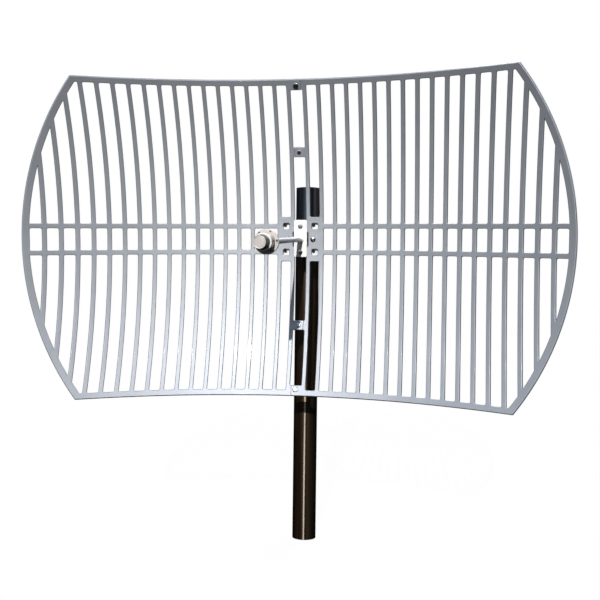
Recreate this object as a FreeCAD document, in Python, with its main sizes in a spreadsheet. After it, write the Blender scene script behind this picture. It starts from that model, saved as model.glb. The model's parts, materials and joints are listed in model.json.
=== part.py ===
import FreeCAD, Part
# Grid dish antenna on a tube mast, in millimetres: +Z runs up the mast, the dish looks towards -Y
# and is tilted down at rest.  Three moving groups: the mast, the clamp that turns about it, and
# the reflector with its feed, which tilts on the clamp's pivot bolt.
import math
import os
import re
from types import SimpleNamespace
import Sketcher
from FreeCAD import Placement, Rotation, Vector

SIZES = [
    # mast
    ("mast_diameter", 48.3), ("mast_wall", 3.0), ("mast_length", 723.5),
    # where the dish hangs: the elevation pivot seen from the mast and from the dish
    ("pivot_height", 616.0), ("mast_to_pivot", 27.35), ("pivot_reach", "=mast_diameter / 2 + mast_to_pivot"),
    ("pivot_standoff", 3.5), ("pivot_depth", "=casting_depth + ear_disc + pivot_standoff"),
    ("rest_tilt", 3.6),
    # paraboloid and outline
    ("focal_length", 350.0), ("dish_radius", 500.0), ("dish_half_height", 300.0),
    ("casting_depth", 6.0), ("rim_width", 11.0), ("edge_rail_height", 10.5),
    # vertical ribs and cross rails
    ("rib_width", 7.8), ("first_rib", 15.2), ("rib_pitch", 26.49),
    ("cross_rail_offset", 25.5), ("cross_rail_height", 8.8),
    # centre pads
    ("pad_outer", 46.0), ("pad_half_height", 43.5), ("pad_front", 2.5),
    ("pad_notch_reach", 15.2), ("pad_notch_half_height", 14.0), ("pad_hole", 12.0), ("pad_hole_inset", 28.3),
    # lap tabs that join the two halves
    ("tab_reach", 9.0), ("end_tab_height", 19.0), ("mid_tab_height", 18.5),
    ("mid_tab_share", 0.56), ("mid_tab_offset", "=dish_half_height * mid_tab_share"),
    # feed plate and boom
    ("feed_plate_width", 26.0), ("feed_plate_top", 38.0), ("feed_plate_bottom", 35.0),
    ("feed_plate_thickness", 2.0), ("feed_lip", 4.0),
    ("boom_diameter", 10.0), ("boom_wall", 1.0), ("boom_socket", 3.0),
    ("collar_wall", 1.5), ("collar_length", 6.0), ("conductor_radius", 0.9),
    # feed head, by distance in front of the vertex
    ("disc_back", 340.0), ("disc_thickness", 6.5), ("disc_radius", 20.4),
    ("housing_length", 25.5), ("housing_radius", 14.6), ("housing_cavity", 11.5), ("housing_wall", 2.5),
    ("flange_length", 4.0), ("flange_radius", 14.6), ("neck_length", 22.0), ("neck_radius", 11.6),
    ("neck_bore", 8.0), ("cap_length", 4.0), ("cap_radius", 10.3), ("cap_plug", 3.0),
    ("seal_radius", 13.05), ("seal_section", 0.9),
    ("disc_screw_circle", 18.0), ("disc_screw_angle", 7.5), ("disc_screw_shank", 1.4), ("disc_screw_head", 1.9),
    ("disc_screw_head_height", 1.8), ("disc_screw_depth", 5.0),
    ("dipole_radius", 1.6), ("dipole_span", 20.0), ("dipole_hub", 3.4), ("dipole_inset", 8.0),
    # screws
    ("plate_screw_spacing", 25.4), ("pad_screw_spacing", 24.9), ("screw_radius", 2.5),
    ("plate_screw_head", 4.75), ("pad_screw_head", 5.7), ("screw_head_height", 3.0), ("screw_clearance", 0.2),
    ("washer_thickness", 1.0), ("nut_height", 4.0), ("nut_flats", 8.0), ("screw_tail", 1.5),
    ("end_screw_inset", 11.3), ("end_screw_head", 5.5), ("mid_screw_head", 4.0), ("mid_screw_radius", 2.0),
    ("spot_depth", 0.3), ("spot_margin", 0.5), ("crown_share", 0.5),
    # screw proportions at the laps, per unit of screw radius
    ("lap_nut_share", 1.6), ("lap_head_share", 1.2), ("lap_flats_share", 3.2),
    # reach of the cutting shapes ahead of the vertex and behind it
    ("tool_ahead", 400.0), ("tool_behind", 60.0), ("tool_short", 20.0),
    # mount bracket on the dish
    ("plate_gauge", 3.0), ("mount_side_gap", 11.85), ("mount_half_width", "=mast_diameter / 2 + mount_side_gap"),
    ("mount_half_height", 35.0),
    ("ear_half_height", 30.0), ("ear_shoulder", 17.0), ("ear_nose", 12.0),
    # clamp bracket on the mast
    ("web_gap", 7.85), ("web_offset", "=mast_diameter / 2 + web_gap"), ("clamp_inset", 2.0),
    ("clamp_half_width", "=mount_half_width - clamp_inset"),
    ("clamp_half_height", 35.0),
    ("running_gap", 0.3), ("ear_disc", 30.5), ("lock_inset", 8.5), ("lock_reach", "=ear_disc - lock_inset"),
    ("lock_angle", 45.0), ("lock_swing", 17.0),
    # U-bolts and jaws
    ("u_bolt_radius", 3.0), ("u_bolt_spacing", 22.0), ("jaw_half_width", 20.0), ("jaw_height", 18.0),
    ("u_washer_thickness", 1.6), ("u_nut_height", 5.0), ("u_nut_flats", 10.0), ("u_tail", 3.0),
    # tilt bolts
    ("tilt_bolt_radius", 4.0), ("tilt_washer_radius", 8.0), ("tilt_washer_thickness", 1.6),
    ("tilt_head_height", 5.3), ("tilt_flats", 13.0), ("tilt_nut_height", 6.5), ("tilt_tail", 2.5),
    ("pivot_clearance", 0.08),
    # coaxial elbow and connector behind the mount bracket
    ("elbow_half_width", 10.0), ("connector_depth", 28.0), ("connector_radius", 7.9),
    ("connector_length", 12.0), ("connector_flange", 9.5), ("connector_flange_length", 3.0),
    ("connector_bore", 4.2), ("insulator_length", 5.0), ("contact_length", 10.0), ("connector_contact", 1.5),
]

FUNCTIONS = {"cos", "sin"}
SKETCH_START = (20.0, 10.0)
X_AXIS = Vector(1, 0, 0)
Y_AXIS = Vector(0, 1, 0)
Z_AXIS = Vector(0, 0, 1)
ALONG = {
    "+X": Rotation(Y_AXIS, 90), "-X": Rotation(Y_AXIS, -90),
    "+Y": Rotation(X_AXIS, -90), "-Y": Rotation(X_AXIS, 90),
    "+Z": Rotation(), "-Z": Rotation(X_AXIS, 180),
}

doc = FreeCAD.newDocument("GridAntenna")
sheet = doc.addObject("Spreadsheet::Sheet", "Sizes")
for row, (alias, _) in enumerate(SIZES, start=1):
    sheet.set("A%d" % row, alias)
    sheet.setAlias("B%d" % row, alias)
for row, (_, value) in enumerate(SIZES, start=1):
    sheet.set("B%d" % row, str(value))
doc.recompute()
NODES = []


# ---------------------------------------------------------------- sizes and expressions
S = SimpleNamespace(**{alias: float(sheet.get(alias)) for alias, _ in SIZES})


def bound(formula):
    """A formula of the sheet's aliases as a FreeCAD expression."""
    def cell(word):
        return word.group(0) if word.group(0) in FUNCTIONS else "Sizes." + word.group(0)

    return re.sub(r"[a-z][a-z_]+", cell, formula)


def bind(feature, **formulas):
    """Bind properties of a feature; a double underscore stands for a dot."""
    for prop, formula in formulas.items():
        feature.setExpression(prop.replace("__", "."), bound(formula))
    return feature


def at(feature, x, y, z):
    return bind(feature, Placement__Base__x=x, Placement__Base__y=y, Placement__Base__z=z)


# ---------------------------------------------------------------- features
def block(name, x_low, x_high, y_low, y_high, z_low, z_high):
    """Box between two corners, each coordinate a formula."""
    box = doc.addObject("Part::Box", name)
    bind(box, Length="(%s) - (%s)" % (x_high, x_low), Width="(%s) - (%s)" % (y_high, y_low))
    bind(box, Height="(%s) - (%s)" % (z_high, z_low))
    return at(box, x_low, y_low, z_low)


def rod(name, radius, length, x, y, z, direction):
    """Cylinder that starts at a point and runs along a row axis."""
    cylinder = doc.addObject("Part::Cylinder", name)
    cylinder.Placement = Placement(Vector(), ALONG[direction])
    bind(cylinder, Radius=radius, Height=length)
    return at(cylinder, x, y, z)


def hexagon(name, flats, length, x, y, z, direction, turn=0.0):
    """Hexagonal prism, given across its flats."""
    prism = doc.addObject("Part::Prism", name)
    prism.Polygon = 6
    prism.Placement = Placement(Vector(), ALONG[direction] * Rotation(Z_AXIS, turn))
    bind(prism, Circumradius="(%s) / 2 / cos(30)" % flats, Height=length)
    return at(prism, x, y, z)


def fuse(name, *shapes):
    union = doc.addObject("Part::MultiFuse", name)
    union.Shapes = list(shapes)
    return union


def cut(name, base, *tools):
    difference = doc.addObject("Part::Cut", name)
    difference.Base = base
    difference.Tool = tools[0] if len(tools) == 1 else fuse(name + "_tools", *tools)
    return difference


def group(name, shapes):
    """Identical loose pieces kept together as separate solids."""
    compound = doc.addObject("Part::Compound", name)
    compound.Links = list(shapes)
    return compound


def solid(name, shape):
    feature = doc.addObject("Part::Feature", name)
    feature.Shape = shape
    return feature


def tube_body(name, outer_diameter, wall, length):
    """PartDesign body: a ring sketched on XY and padded along +Z."""
    body = doc.addObject("PartDesign::Body", name)
    plane = [item for item in body.Origin.OriginFeatures if item.Role == "XY_Plane"][0]
    sketch = body.newObject("Sketcher::SketchObject", name + "_ring")
    sketch.AttachmentSupport = [(plane, "")]
    sketch.MapMode = "FlatFace"
    radii = ("(%s) / 2" % outer_diameter, "(%s) / 2 - (%s)" % (outer_diameter, wall))
    for index, radius in enumerate(radii):
        sketch.addGeometry(Part.Circle(Vector(), Z_AXIS, SKETCH_START[index]), False)
        constraint = sketch.addConstraint(Sketcher.Constraint("Radius", index, SKETCH_START[index]))
        sketch.addConstraint(Sketcher.Constraint("Coincident", index, 3, -1, 1))
        sketch.setExpression("Constraints[%d]" % constraint, bound(radius))
    pad = body.newObject("PartDesign::Pad", name + "_pad")
    pad.Profile = sketch
    pad.setExpression("Length", bound(length))
    body.Tip = pad
    return body


def node(label, feature, frame, local=Placement()):
    """Name a sub-part and seat it in its frame."""
    feature.Label = label
    feature.Placement = frame * local
    NODES.append(feature)


# ---------------------------------------------------------------- frames
MAST = Placement()
CLAMP = Placement(Vector(0, 0, S.pivot_height), Rotation())
PIVOT_IN_DISH = Placement(Vector(0, -S.pivot_depth, 0), Rotation())
PIVOT_IN_ROW = Placement(Vector(0, -S.pivot_reach, S.pivot_height), Rotation(X_AXIS, S.rest_tilt))
DISH = PIVOT_IN_ROW * PIVOT_IN_DISH


# places that several pieces share
LOCK_Y = "pivot_depth - lock_reach * cos(lock_angle)"
LOCK_Z = "lock_reach * sin(lock_angle)"
CENTRE_SCREWS = [
    ("top", "0", "plate_screw_spacing", "plate"),
    ("bottom", "0", "0 - plate_screw_spacing", "plate"),
    ("left", "0 - pad_screw_spacing", "0", "pad"),
    ("right", "pad_screw_spacing", "0", "pad"),
]


# ---------------------------------------------------------------- mast
def make_mast():
    tube = tube_body("mast_tube", "mast_diameter", "mast_wall", "mast_length")
    node("mast_tube", tube, MAST)


# ---------------------------------------------------------------- clamp on the mast
def make_clamp_bracket():
    """L-shaped plate: a web across the mast and a round ear with an arc slot for the lock bolt."""
    back = "0 - web_offset"
    front = "0 - web_offset - plate_gauge"
    ear_in = "0 - mount_half_width - running_gap"
    ear_out = "0 - mount_half_width - running_gap - plate_gauge"
    pivot = "0 - pivot_reach"
    web = block("clamp_web", ear_out, "clamp_half_width", front, back,
                "0 - clamp_half_height", "clamp_half_height")
    arm = block("clamp_arm", ear_out, ear_in, pivot, back, "0 - ear_disc", "ear_disc")
    disc = rod("clamp_disc", "ear_disc", "plate_gauge", ear_out, pivot, "0", "+X")
    holes = [rod("clamp_pivot_hole", "tilt_bolt_radius + screw_clearance", "plate_gauge * 3",
                 "0 - mount_half_width - running_gap - plate_gauge * 2", pivot, "0", "+X")]
    for side in (-1, 1):
        for level in (-1, 1):
            holes.append(rod("clamp_leg_hole_%d%d" % (side + 1, level + 1),
                             "u_bolt_radius + screw_clearance", "plate_gauge * 3",
                             "%d * (mast_diameter / 2 + running_gap + u_bolt_radius)" % side,
                             "0 - web_offset - plate_gauge * 2", "%d * u_bolt_spacing" % level, "+Y"))
    bracket = cut("clamp_bracket", fuse("clamp_blank", web, arm, disc), *holes, clamp_slot())
    node("clamp_bracket", bracket, CLAMP)


def clamp_slot():
    """Arc slot about the pivot, as wide as the lock bolt and its clearance."""
    radius = S.lock_reach
    half = S.tilt_bolt_radius + S.running_gap
    start = S.lock_angle - S.lock_swing
    end = S.lock_angle + S.lock_swing
    x_low = -S.mount_half_width - S.running_gap - S.plate_gauge * 2

    def polar(distance, angle):
        turn = math.radians(angle)
        return Vector(x_low, -S.pivot_reach - distance * math.cos(turn), distance * math.sin(turn))

    def arc(distance, first, last):
        middle = (first + last) / 2
        return Part.Arc(polar(distance, first), polar(distance, middle), polar(distance, last)).toShape()

    def end_cap(angle, sense):
        reach = math.degrees(half / radius)
        return Part.Arc(polar(radius - half, angle), polar(radius, angle + sense * reach),
                        polar(radius + half, angle)).toShape()

    edges = [arc(radius + half, start, end), end_cap(end, 1), arc(radius - half, end, start), end_cap(start, -1)]
    outline = Part.Wire(Part.__sortEdges__(edges))
    return solid("clamp_slot", Part.Face(outline).extrude(Vector(S.plate_gauge * 3, 0, 0)))


def make_u_bolts():
    centre = "mast_diameter / 2 + running_gap + u_bolt_radius"
    legs_end = "web_offset + plate_gauge + u_washer_thickness + u_nut_height + u_tail"
    front = "0 - web_offset - plate_gauge"
    washers = []
    nuts = []
    for label, level in (("upper", 1), ("lower", -1)):
        height = "%d * u_bolt_spacing" % level
        bow = doc.addObject("Part::Torus", "u_bow_" + label)
        bow.Angle3 = 180
        bind(bow, Radius1=centre, Radius2="u_bolt_radius")
        at(bow, "0", "0", height)
        legs = []
        for side in (-1, 1):
            across = "%d * (%s)" % (side, centre)
            tag = "%s_%d" % (label, side + 1)
            legs.append(rod("u_leg_" + tag, "u_bolt_radius", legs_end, across, "0", height, "-Y"))
            washers.append(cut("u_washer_" + tag,
                               rod("u_washer_disc_" + tag, "u_bolt_radius * 2", "u_washer_thickness",
                                   across, front, height, "-Y"),
                               rod("u_washer_hole_" + tag, "u_bolt_radius + screw_clearance",
                                   "u_washer_thickness", across, front, height, "-Y")))
            seat = front + " - u_washer_thickness"
            nuts.append(cut("u_nut_" + tag,
                            hexagon("u_nut_hex_" + tag, "u_nut_flats", "u_nut_height",
                                    across, seat, height, "-Y", 30),
                            rod("u_nut_hole_" + tag, "u_bolt_radius", "u_nut_height",
                                across, seat, height, "-Y")))
        node("u_bolt_" + label, fuse("u_bolt_" + label, bow, *legs), CLAMP)
        jaw = cut("mast_jaw_" + label,
                  block("jaw_block_" + label, "0 - jaw_half_width", "jaw_half_width",
                        "0 - web_offset", "0 - mast_diameter / 4",
                        height + " - jaw_height / 2", height + " + jaw_height / 2"),
                  rod("jaw_bore_" + label, "mast_diameter / 2 + running_gap", "jaw_height * 2",
                      "0", "0", height + " - jaw_height", "+Z"))
        node("mast_jaw_" + label, jaw, CLAMP)
    node("u_bolt_washers", group("u_bolt_washers", washers), CLAMP)
    node("u_bolt_nuts", group("u_bolt_nuts", nuts), CLAMP)


# ---------------------------------------------------------------- tilt bolts
def tilt_bolt(label, y, z, frame, inner_gap, outer_gap):
    """Hexagon bolt through both ears from outside, with two washers and a nut."""
    outside = "0 - mount_half_width - running_gap - plate_gauge - %s" % outer_gap
    inside = "0 - mount_half_width + plate_gauge + %s" % inner_gap
    under_head = outside + " - tilt_washer_thickness"
    nut_seat = inside + " + tilt_washer_thickness"
    grip = "(%s) - (%s) + tilt_nut_height + tilt_tail" % (nut_seat, under_head)
    head = hexagon(label + "_head", "tilt_flats", "tilt_head_height", under_head, y, z, "-X")
    shank = rod(label + "_shank", "tilt_bolt_radius", grip, under_head, y, z, "+X")
    node(label + "_bolt", fuse(label + "_bolt", head, shank), frame)
    washers = []
    for tag, seat, sense in (("out", outside, "-X"), ("in", inside, "+X")):
        washers.append(cut("%s_washer_%s" % (label, tag),
                           rod("%s_washer_disc_%s" % (label, tag), "tilt_washer_radius",
                               "tilt_washer_thickness", seat, y, z, sense),
                           rod("%s_washer_hole_%s" % (label, tag), "tilt_bolt_radius",
                               "tilt_washer_thickness", seat, y, z, sense)))
    node(label + "_washers", group(label + "_washers", washers), frame)
    nut = cut(label + "_nut",
              hexagon(label + "_nut_hex", "tilt_flats", "tilt_nut_height", nut_seat, y, z, "+X"),
              rod(label + "_nut_hole", "tilt_bolt_radius", "tilt_nut_height", nut_seat, y, z, "+X"))
    node(label + "_nut", nut, frame)


# ---------------------------------------------------------------- mount bracket on the dish
def make_mount_bracket():
    """L-shaped plate: a web behind the centre pads and an ear back to the pivot."""
    front = "casting_depth"
    back = "casting_depth + plate_gauge"
    web = block("mount_web", "0 - mount_half_width", "mount_half_width", front, back,
                "0 - mount_half_height", "mount_half_height")
    depth = S.pivot_depth
    shoulder = S.casting_depth + S.plate_gauge + S.ear_shoulder
    high = S.ear_half_height
    nose = S.ear_nose
    corners = [(S.casting_depth, -high), (shoulder, -high), (depth, -nose),
               (depth, nose), (shoulder, high), (S.casting_depth, high)]
    points = [Vector(-S.mount_half_width, y, z) for y, z in corners]
    profile = Part.Face(Part.makePolygon(points + [points[0]]))
    ear = solid("mount_ear", profile.extrude(Vector(S.plate_gauge, 0, 0)))
    nose_disc = rod("mount_nose", "ear_nose", "plate_gauge", "0 - mount_half_width", "pivot_depth", "0", "+X")
    through_x = "0 - mount_half_width - plate_gauge"
    holes = [
        rod("mount_pivot_hole", "tilt_bolt_radius + pivot_clearance", "plate_gauge * 3",
            through_x, "pivot_depth", "0", "+X"),
        rod("mount_lock_hole", "tilt_bolt_radius", "plate_gauge * 3", through_x, LOCK_Y, LOCK_Z, "+X"),
        rod("mount_boom_hole", "boom_diameter / 2", "plate_gauge * 3", "0", "casting_depth - plate_gauge",
            "0", "+Y"),
    ]
    for tag, x, z, _ in CENTRE_SCREWS:
        holes.append(rod("mount_screw_hole_" + tag, "screw_radius + screw_clearance", "plate_gauge * 3",
                         x, "casting_depth - plate_gauge", z, "+Y"))
    node("mount_bracket", cut("mount_bracket", fuse("mount_blank", web, ear, nose_disc), *holes), DISH)


# ---------------------------------------------------------------- grid panels
def sag(x, z):
    """Y of the paraboloid's front surface."""
    return -(x * x + z * z) / (4.0 * S.focal_length)


def parabola(reach, depth):
    """Exact parabola arc from the axis out, as a Bezier curve of degree two."""
    curve = Part.BezierCurve()
    curve.setPoles([Vector(0, depth, 0), Vector(reach / 2.0, depth, 0), Vector(reach, depth + sag(reach, 0), 0)])
    return curve.toShape()


def paraboloid_shell(front, back):
    """Solid between two equal paraboloids, front and back being depths along Y."""
    reach = S.dish_radius + S.rim_width
    lines = [
        Part.makeLine(Vector(reach, front + sag(reach, 0), 0), Vector(reach, back + sag(reach, 0), 0)),
        Part.makeLine(Vector(0, front, 0), Vector(0, back, 0)),
    ]
    edges = Part.__sortEdges__([parabola(reach, front), parabola(reach, back)] + lines)
    return Part.Face(Part.Wire(edges)).revolve(Vector(), Y_AXIS, 360)


def slab(x_low, x_high, z_low, z_high, y_low=-S.tool_ahead, y_high=S.tool_behind):
    corner = Vector(x_low, y_low, z_low)
    return Part.makeBox(x_high - x_low, y_high - y_low, z_high - z_low, corner)


def disc_prism(radius):
    return Part.makeCylinder(radius, S.tool_ahead + S.tool_behind, Vector(0, -S.tool_ahead, 0), Y_AXIS)


def outline_prism():
    """Right half of the outline: a circle cut by the top, the bottom and the centre gap."""
    inner = S.first_rib - S.rib_width / 2.0
    half = slab(inner, S.dish_radius + 1.0, -S.dish_half_height, S.dish_half_height)
    return half.common(disc_prism(S.dish_radius))


def windows():
    """Openings between the ribs: three bands per bay, cut short by the rim."""
    rail = S.cross_rail_height / 2.0
    edge = S.dish_half_height - S.edge_rail_height
    bands = [(S.cross_rail_offset + rail, edge), (rail - S.cross_rail_offset, S.cross_rail_offset - rail),
             (-edge, -S.cross_rail_offset - rail)]
    pad_bands = [(S.pad_half_height, edge), (-edge, -S.pad_half_height)]
    bays = math.ceil((S.dish_radius - S.rim_width - S.first_rib) / S.rib_pitch)
    boxes = []
    for bay in range(bays):
        low = S.first_rib + bay * S.rib_pitch + S.rib_width / 2.0
        high = low + S.rib_pitch - S.rib_width
        for bottom, top in (pad_bands if bay == 0 else bands):
            boxes.append(slab(low, high, bottom, top))
    return Part.makeCompound(boxes).common(disc_prism(S.dish_radius - S.rim_width))


def tab(height_low, height_high, front, back):
    """Flat tongue of the curved casting that crosses the centre gap."""
    tongue = slab(-S.tab_reach, S.first_rib, height_low, height_high)
    return tongue.common(paraboloid_shell(front, back))


def lap_place(height):
    """Local frame on the casting's front surface, its +Y along the surface's normal."""
    lean = math.degrees(math.atan(height / (2.0 * S.focal_length)))
    return Placement(Vector(0, sag(0, height), height), Rotation(X_AXIS, lean))


def lap_depth(height):
    """Thickness of the casting along its normal."""
    return S.casting_depth * math.cos(math.atan(height / (2.0 * S.focal_length)))


def laps():
    """Each lap: its height, which half lies in front (+1 right), screw radius and head radius."""
    return [
        ("rim", "top", S.dish_half_height - S.end_screw_inset, -1, S.screw_radius, S.end_screw_head),
        ("mid", "upper", S.mid_tab_offset, 1, S.mid_screw_radius, S.mid_screw_head),
        ("mid", "lower", -S.mid_tab_offset, -1, S.mid_screw_radius, S.mid_screw_head),
        ("rim", "bottom", S.end_screw_inset - S.dish_half_height, 1, S.screw_radius, S.end_screw_head),
    ]


def local_cylinder(radius, near, far, place):
    """Cylinder along a lap's normal from one local depth to another."""
    shape = Part.makeCylinder(radius, far - near, Vector(0, near, 0), Y_AXIS)
    shape.Placement = place
    return shape


def centre_pad():
    """Thick flat pad between the first two ribs, with its square holes and its notch."""
    inner = S.first_rib - S.rib_width / 2.0
    high = S.pad_half_height
    pad = slab(inner, S.pad_outer, -high, high, S.pad_front, S.casting_depth)
    half = S.pad_hole / 2.0
    for level in (-1, 1):
        middle = level * S.cross_rail_offset
        pad = pad.cut(slab(S.pad_hole_inset - half, S.pad_hole_inset + half, middle - half, middle + half))
    return pad


def right_panel():
    """One half of the reflector: ribs, rails, rim, pad and lap tabs in one casting."""
    ribs = outline_prism().cut(windows())
    casting = ribs.common(paraboloid_shell(0.0, S.casting_depth))
    half = S.casting_depth / 2.0
    low_end = S.dish_half_height - S.end_tab_height
    reach = S.mid_tab_height / 2.0
    tabs = [
        tab(low_end, S.dish_half_height, half, S.casting_depth),
        tab(S.mid_tab_offset - reach, S.mid_tab_offset + reach, 0.0, half),
        tab(-S.mid_tab_offset - reach, -S.mid_tab_offset + reach, half, S.casting_depth),
        tab(-S.dish_half_height, -low_end, 0.0, half),
    ]
    casting = casting.fuse(tabs + [centre_pad()])
    notch = slab(0.0, S.pad_notch_reach, -S.pad_notch_half_height, S.pad_notch_half_height)
    seat_height = max(S.feed_plate_bottom, S.feed_plate_top) + 1.0
    seat = slab(-S.tab_reach, S.feed_plate_width / 2.0 + 1.0, -seat_height, seat_height, -S.tool_behind, 0.0)
    half_hole = S.pad_hole / 2.0
    holes = [slab(S.pad_hole_inset - half_hole, S.pad_hole_inset + half_hole,
                  level * S.cross_rail_offset - half_hole, level * S.cross_rail_offset + half_hole)
             for level in (-1, 1)]
    screw = Vector(S.pad_screw_spacing, -S.tool_behind, 0)
    spot = Part.makeCylinder(S.pad_screw_head + S.spot_margin, S.tool_behind, screw, Y_AXIS)
    hole = Part.makeCylinder(S.screw_radius + S.screw_clearance, S.tool_behind * 2.0, screw, Y_AXIS)
    tools = [notch, seat, spot, hole] + holes
    for _, _, height, _, radius, head in laps():
        place = lap_place(height)
        depth = lap_depth(height)
        tools.append(local_cylinder(radius + S.screw_clearance, -S.tool_short, S.tool_short, place))
        tools.append(local_cylinder(head + S.spot_margin, -S.tool_short, S.spot_depth, place))
        tools.append(local_cylinder(head + S.spot_margin, depth - S.spot_depth, S.tool_short, place))
    return casting.cut(tools).removeSplitter()


def make_panels():
    """The right half, and the left half as the same casting turned half a turn about Y."""
    casting = right_panel()
    node("grid_panel_right", solid("grid_panel_right", casting), DISH)
    half_turn = Placement(Vector(), Rotation(Y_AXIS, 180))
    node("grid_panel_left", solid("grid_panel_left", casting.copy()), DISH, half_turn)


# ---------------------------------------------------------------- screws of the laps
def pan_head(radius, height):
    """Pan head on the plane Y = 0, its crown towards -Y: a disc with a rounded edge."""
    disc = Part.makeCylinder(radius, height, Vector(0, -height, 0), Y_AXIS)
    crown = [edge for edge in disc.Edges if abs(edge.BoundBox.YMax + height) < 1e-6 and len(edge.Vertexes) == 1]
    return disc.makeFillet(height * S.crown_share, crown)


def pan_screw(radius, head, head_height, length):
    return pan_head(head, head_height).fuse(Part.makeCylinder(radius, length, Vector(), Y_AXIS))


def washer_shape(inner, outer, thickness, near):
    ring = Part.makeCylinder(outer, thickness, Vector(0, near, 0), Y_AXIS)
    return ring.cut(Part.makeCylinder(inner, thickness, Vector(0, near, 0), Y_AXIS))


def nut_shape(inner, flats, height, near):
    points = []
    for corner in range(7):
        turn = math.radians(60.0 * corner)
        reach = flats / math.sqrt(3.0)
        points.append(Vector(reach * math.cos(turn), near, reach * math.sin(turn)))
    prism = Part.Face(Part.makePolygon(points)).extrude(Vector(0, height, 0))
    return prism.cut(Part.makeCylinder(inner, height, Vector(0, near, 0), Y_AXIS))


def placed(shape, place):
    moved = shape.copy()
    moved.Placement = place
    return moved


def make_lap_fasteners():
    pieces = {}
    for kind, _, height, _, radius, head in laps():
        place = lap_place(height)
        rear = lap_depth(height) - S.spot_depth
        nut_height = radius * S.lap_nut_share
        nut_near = rear + S.washer_thickness
        seat = place * Placement(Vector(0, S.spot_depth, 0), Rotation())
        length = nut_near + nut_height + S.screw_tail - S.spot_depth
        screw = pan_screw(radius, head, radius * S.lap_head_share, length)
        pieces.setdefault(kind + "_lap_screws", []).append(placed(screw, seat))
        washer = washer_shape(radius, head, S.washer_thickness, rear)
        pieces.setdefault(kind + "_lap_washers", []).append(placed(washer, place))
        nut = nut_shape(radius, radius * S.lap_flats_share, nut_height, nut_near)
        pieces.setdefault(kind + "_lap_nuts", []).append(placed(nut, place))
    for label, shapes in pieces.items():
        node(label, solid(label, Part.makeCompound(shapes)), DISH)


# ---------------------------------------------------------------- screws at the centre
def make_centre_fasteners():
    """Two screws hold the feed plate and two hold the pads, all through to the mount bracket."""
    screws = {"plate": [], "pad": []}
    washers = []
    nuts = []
    for tag, x, z, kind in CENTRE_SCREWS:
        seat = "0 - feed_plate_thickness" if kind == "plate" else "0"
        rear = "casting_depth + plate_gauge"
        nut_seat = rear + " + washer_thickness"
        length = "%s + nut_height + screw_tail - (%s)" % (nut_seat, seat)
        head = rod("centre_head_" + tag, kind + "_screw_head", "screw_head_height", x,
                   seat + " - screw_head_height", z, "+Y")
        crown = doc.addObject("Part::Fillet", "centre_crown_" + tag)
        crown.Base = head
        round_over = S.screw_head_height * S.crown_share
        crown.Edges = [(3, round_over, round_over)]
        shank = rod("centre_shank_" + tag, "screw_radius", length, x, seat, z, "+Y")
        screws[kind].append(fuse("centre_screw_" + tag, crown, shank))
        washers.append(cut("centre_washer_" + tag,
                           rod("centre_washer_disc_" + tag, "screw_radius * 2", "washer_thickness",
                               x, rear, z, "+Y"),
                           rod("centre_washer_hole_" + tag, "screw_radius", "washer_thickness",
                               x, rear, z, "+Y")))
        nuts.append(cut("centre_nut_" + tag,
                        hexagon("centre_nut_hex_" + tag, "nut_flats", "nut_height", x, nut_seat, z, "+Y"),
                        rod("centre_nut_hole_" + tag, "screw_radius", "nut_height", x, nut_seat, z, "+Y")))
    node("feed_plate_screws", group("feed_plate_screws", screws["plate"]), DISH)
    node("pad_screws", group("pad_screws", screws["pad"]), DISH)
    node("centre_washers", group("centre_washers", washers), DISH)
    node("centre_nuts", group("centre_nuts", nuts), DISH)


# ---------------------------------------------------------------- feed plate and boom
def make_feed_plate():
    half = "feed_plate_width / 2"
    plate = block("feed_plate_blank", "0 - " + half, half, "0 - feed_plate_thickness", "0",
                  "0 - feed_plate_bottom", "feed_plate_top")
    lip = block("feed_plate_lip", "0 - " + half, half, "0 - feed_plate_thickness - feed_lip",
                "0 - feed_plate_thickness", "feed_plate_top - feed_plate_thickness", "feed_plate_top")
    holes = [rod("feed_plate_boom_hole", "boom_diameter / 2", "feed_plate_thickness * 3", "0",
                 "0 - feed_plate_thickness * 2", "0", "+Y")]
    for tag, x, z, kind in CENTRE_SCREWS:
        if kind == "plate":
            holes.append(rod("feed_plate_hole_" + tag, "screw_radius + screw_clearance",
                             "feed_plate_thickness * 3", x, "0 - feed_plate_thickness * 2", z, "+Y"))
    node("feed_plate", cut("feed_plate", fuse("feed_plate_bent", plate, lip), *holes), DISH)


def make_boom():
    """Boom tube from the elbow to the feed head, with the coaxial line inside it."""
    back = S.casting_depth + S.plate_gauge + S.boom_socket
    ahead = ALONG["-Y"]
    start = Placement(Vector(0, back, 0), ahead)
    reach = "casting_depth + plate_gauge + boom_socket + disc_back + disc_thickness / 2"
    node("feed_boom", tube_body("feed_boom", "boom_diameter", "boom_wall", reach), DISH, start)
    bore = "boom_diameter - boom_wall * 2"
    dielectric = tube_body("coax_dielectric", bore, bore_wall(), reach)
    node("coax_dielectric", dielectric, DISH, start)
    collar = tube_body("boom_collar", "boom_diameter + collar_wall * 2", "collar_wall", "collar_length")
    node("boom_collar", collar, DISH, Placement(Vector(0, -S.feed_plate_thickness, 0), ahead))
    conductor = rod("coax_conductor_rod", "conductor_radius",
                    "connector_depth + disc_back + disc_thickness + dipole_inset - dipole_hub",
                    "0", "connector_depth", "0", "-Y")
    node("coax_conductor", group("coax_conductor", [conductor]), DISH)


def bore_wall():
    return "boom_diameter / 2 - boom_wall - conductor_radius"


# ---------------------------------------------------------------- feed head
DISC_FRONT = "0 - disc_back - disc_thickness"
HOUSING_FRONT = DISC_FRONT + " - housing_length"
FLANGE_FRONT = HOUSING_FRONT + " - flange_length"
NECK_FRONT = FLANGE_FRONT + " - neck_length"


def make_feed_head():
    make_feed_disc()
    make_feed_housing()
    make_neck()
    make_dipole()


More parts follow.
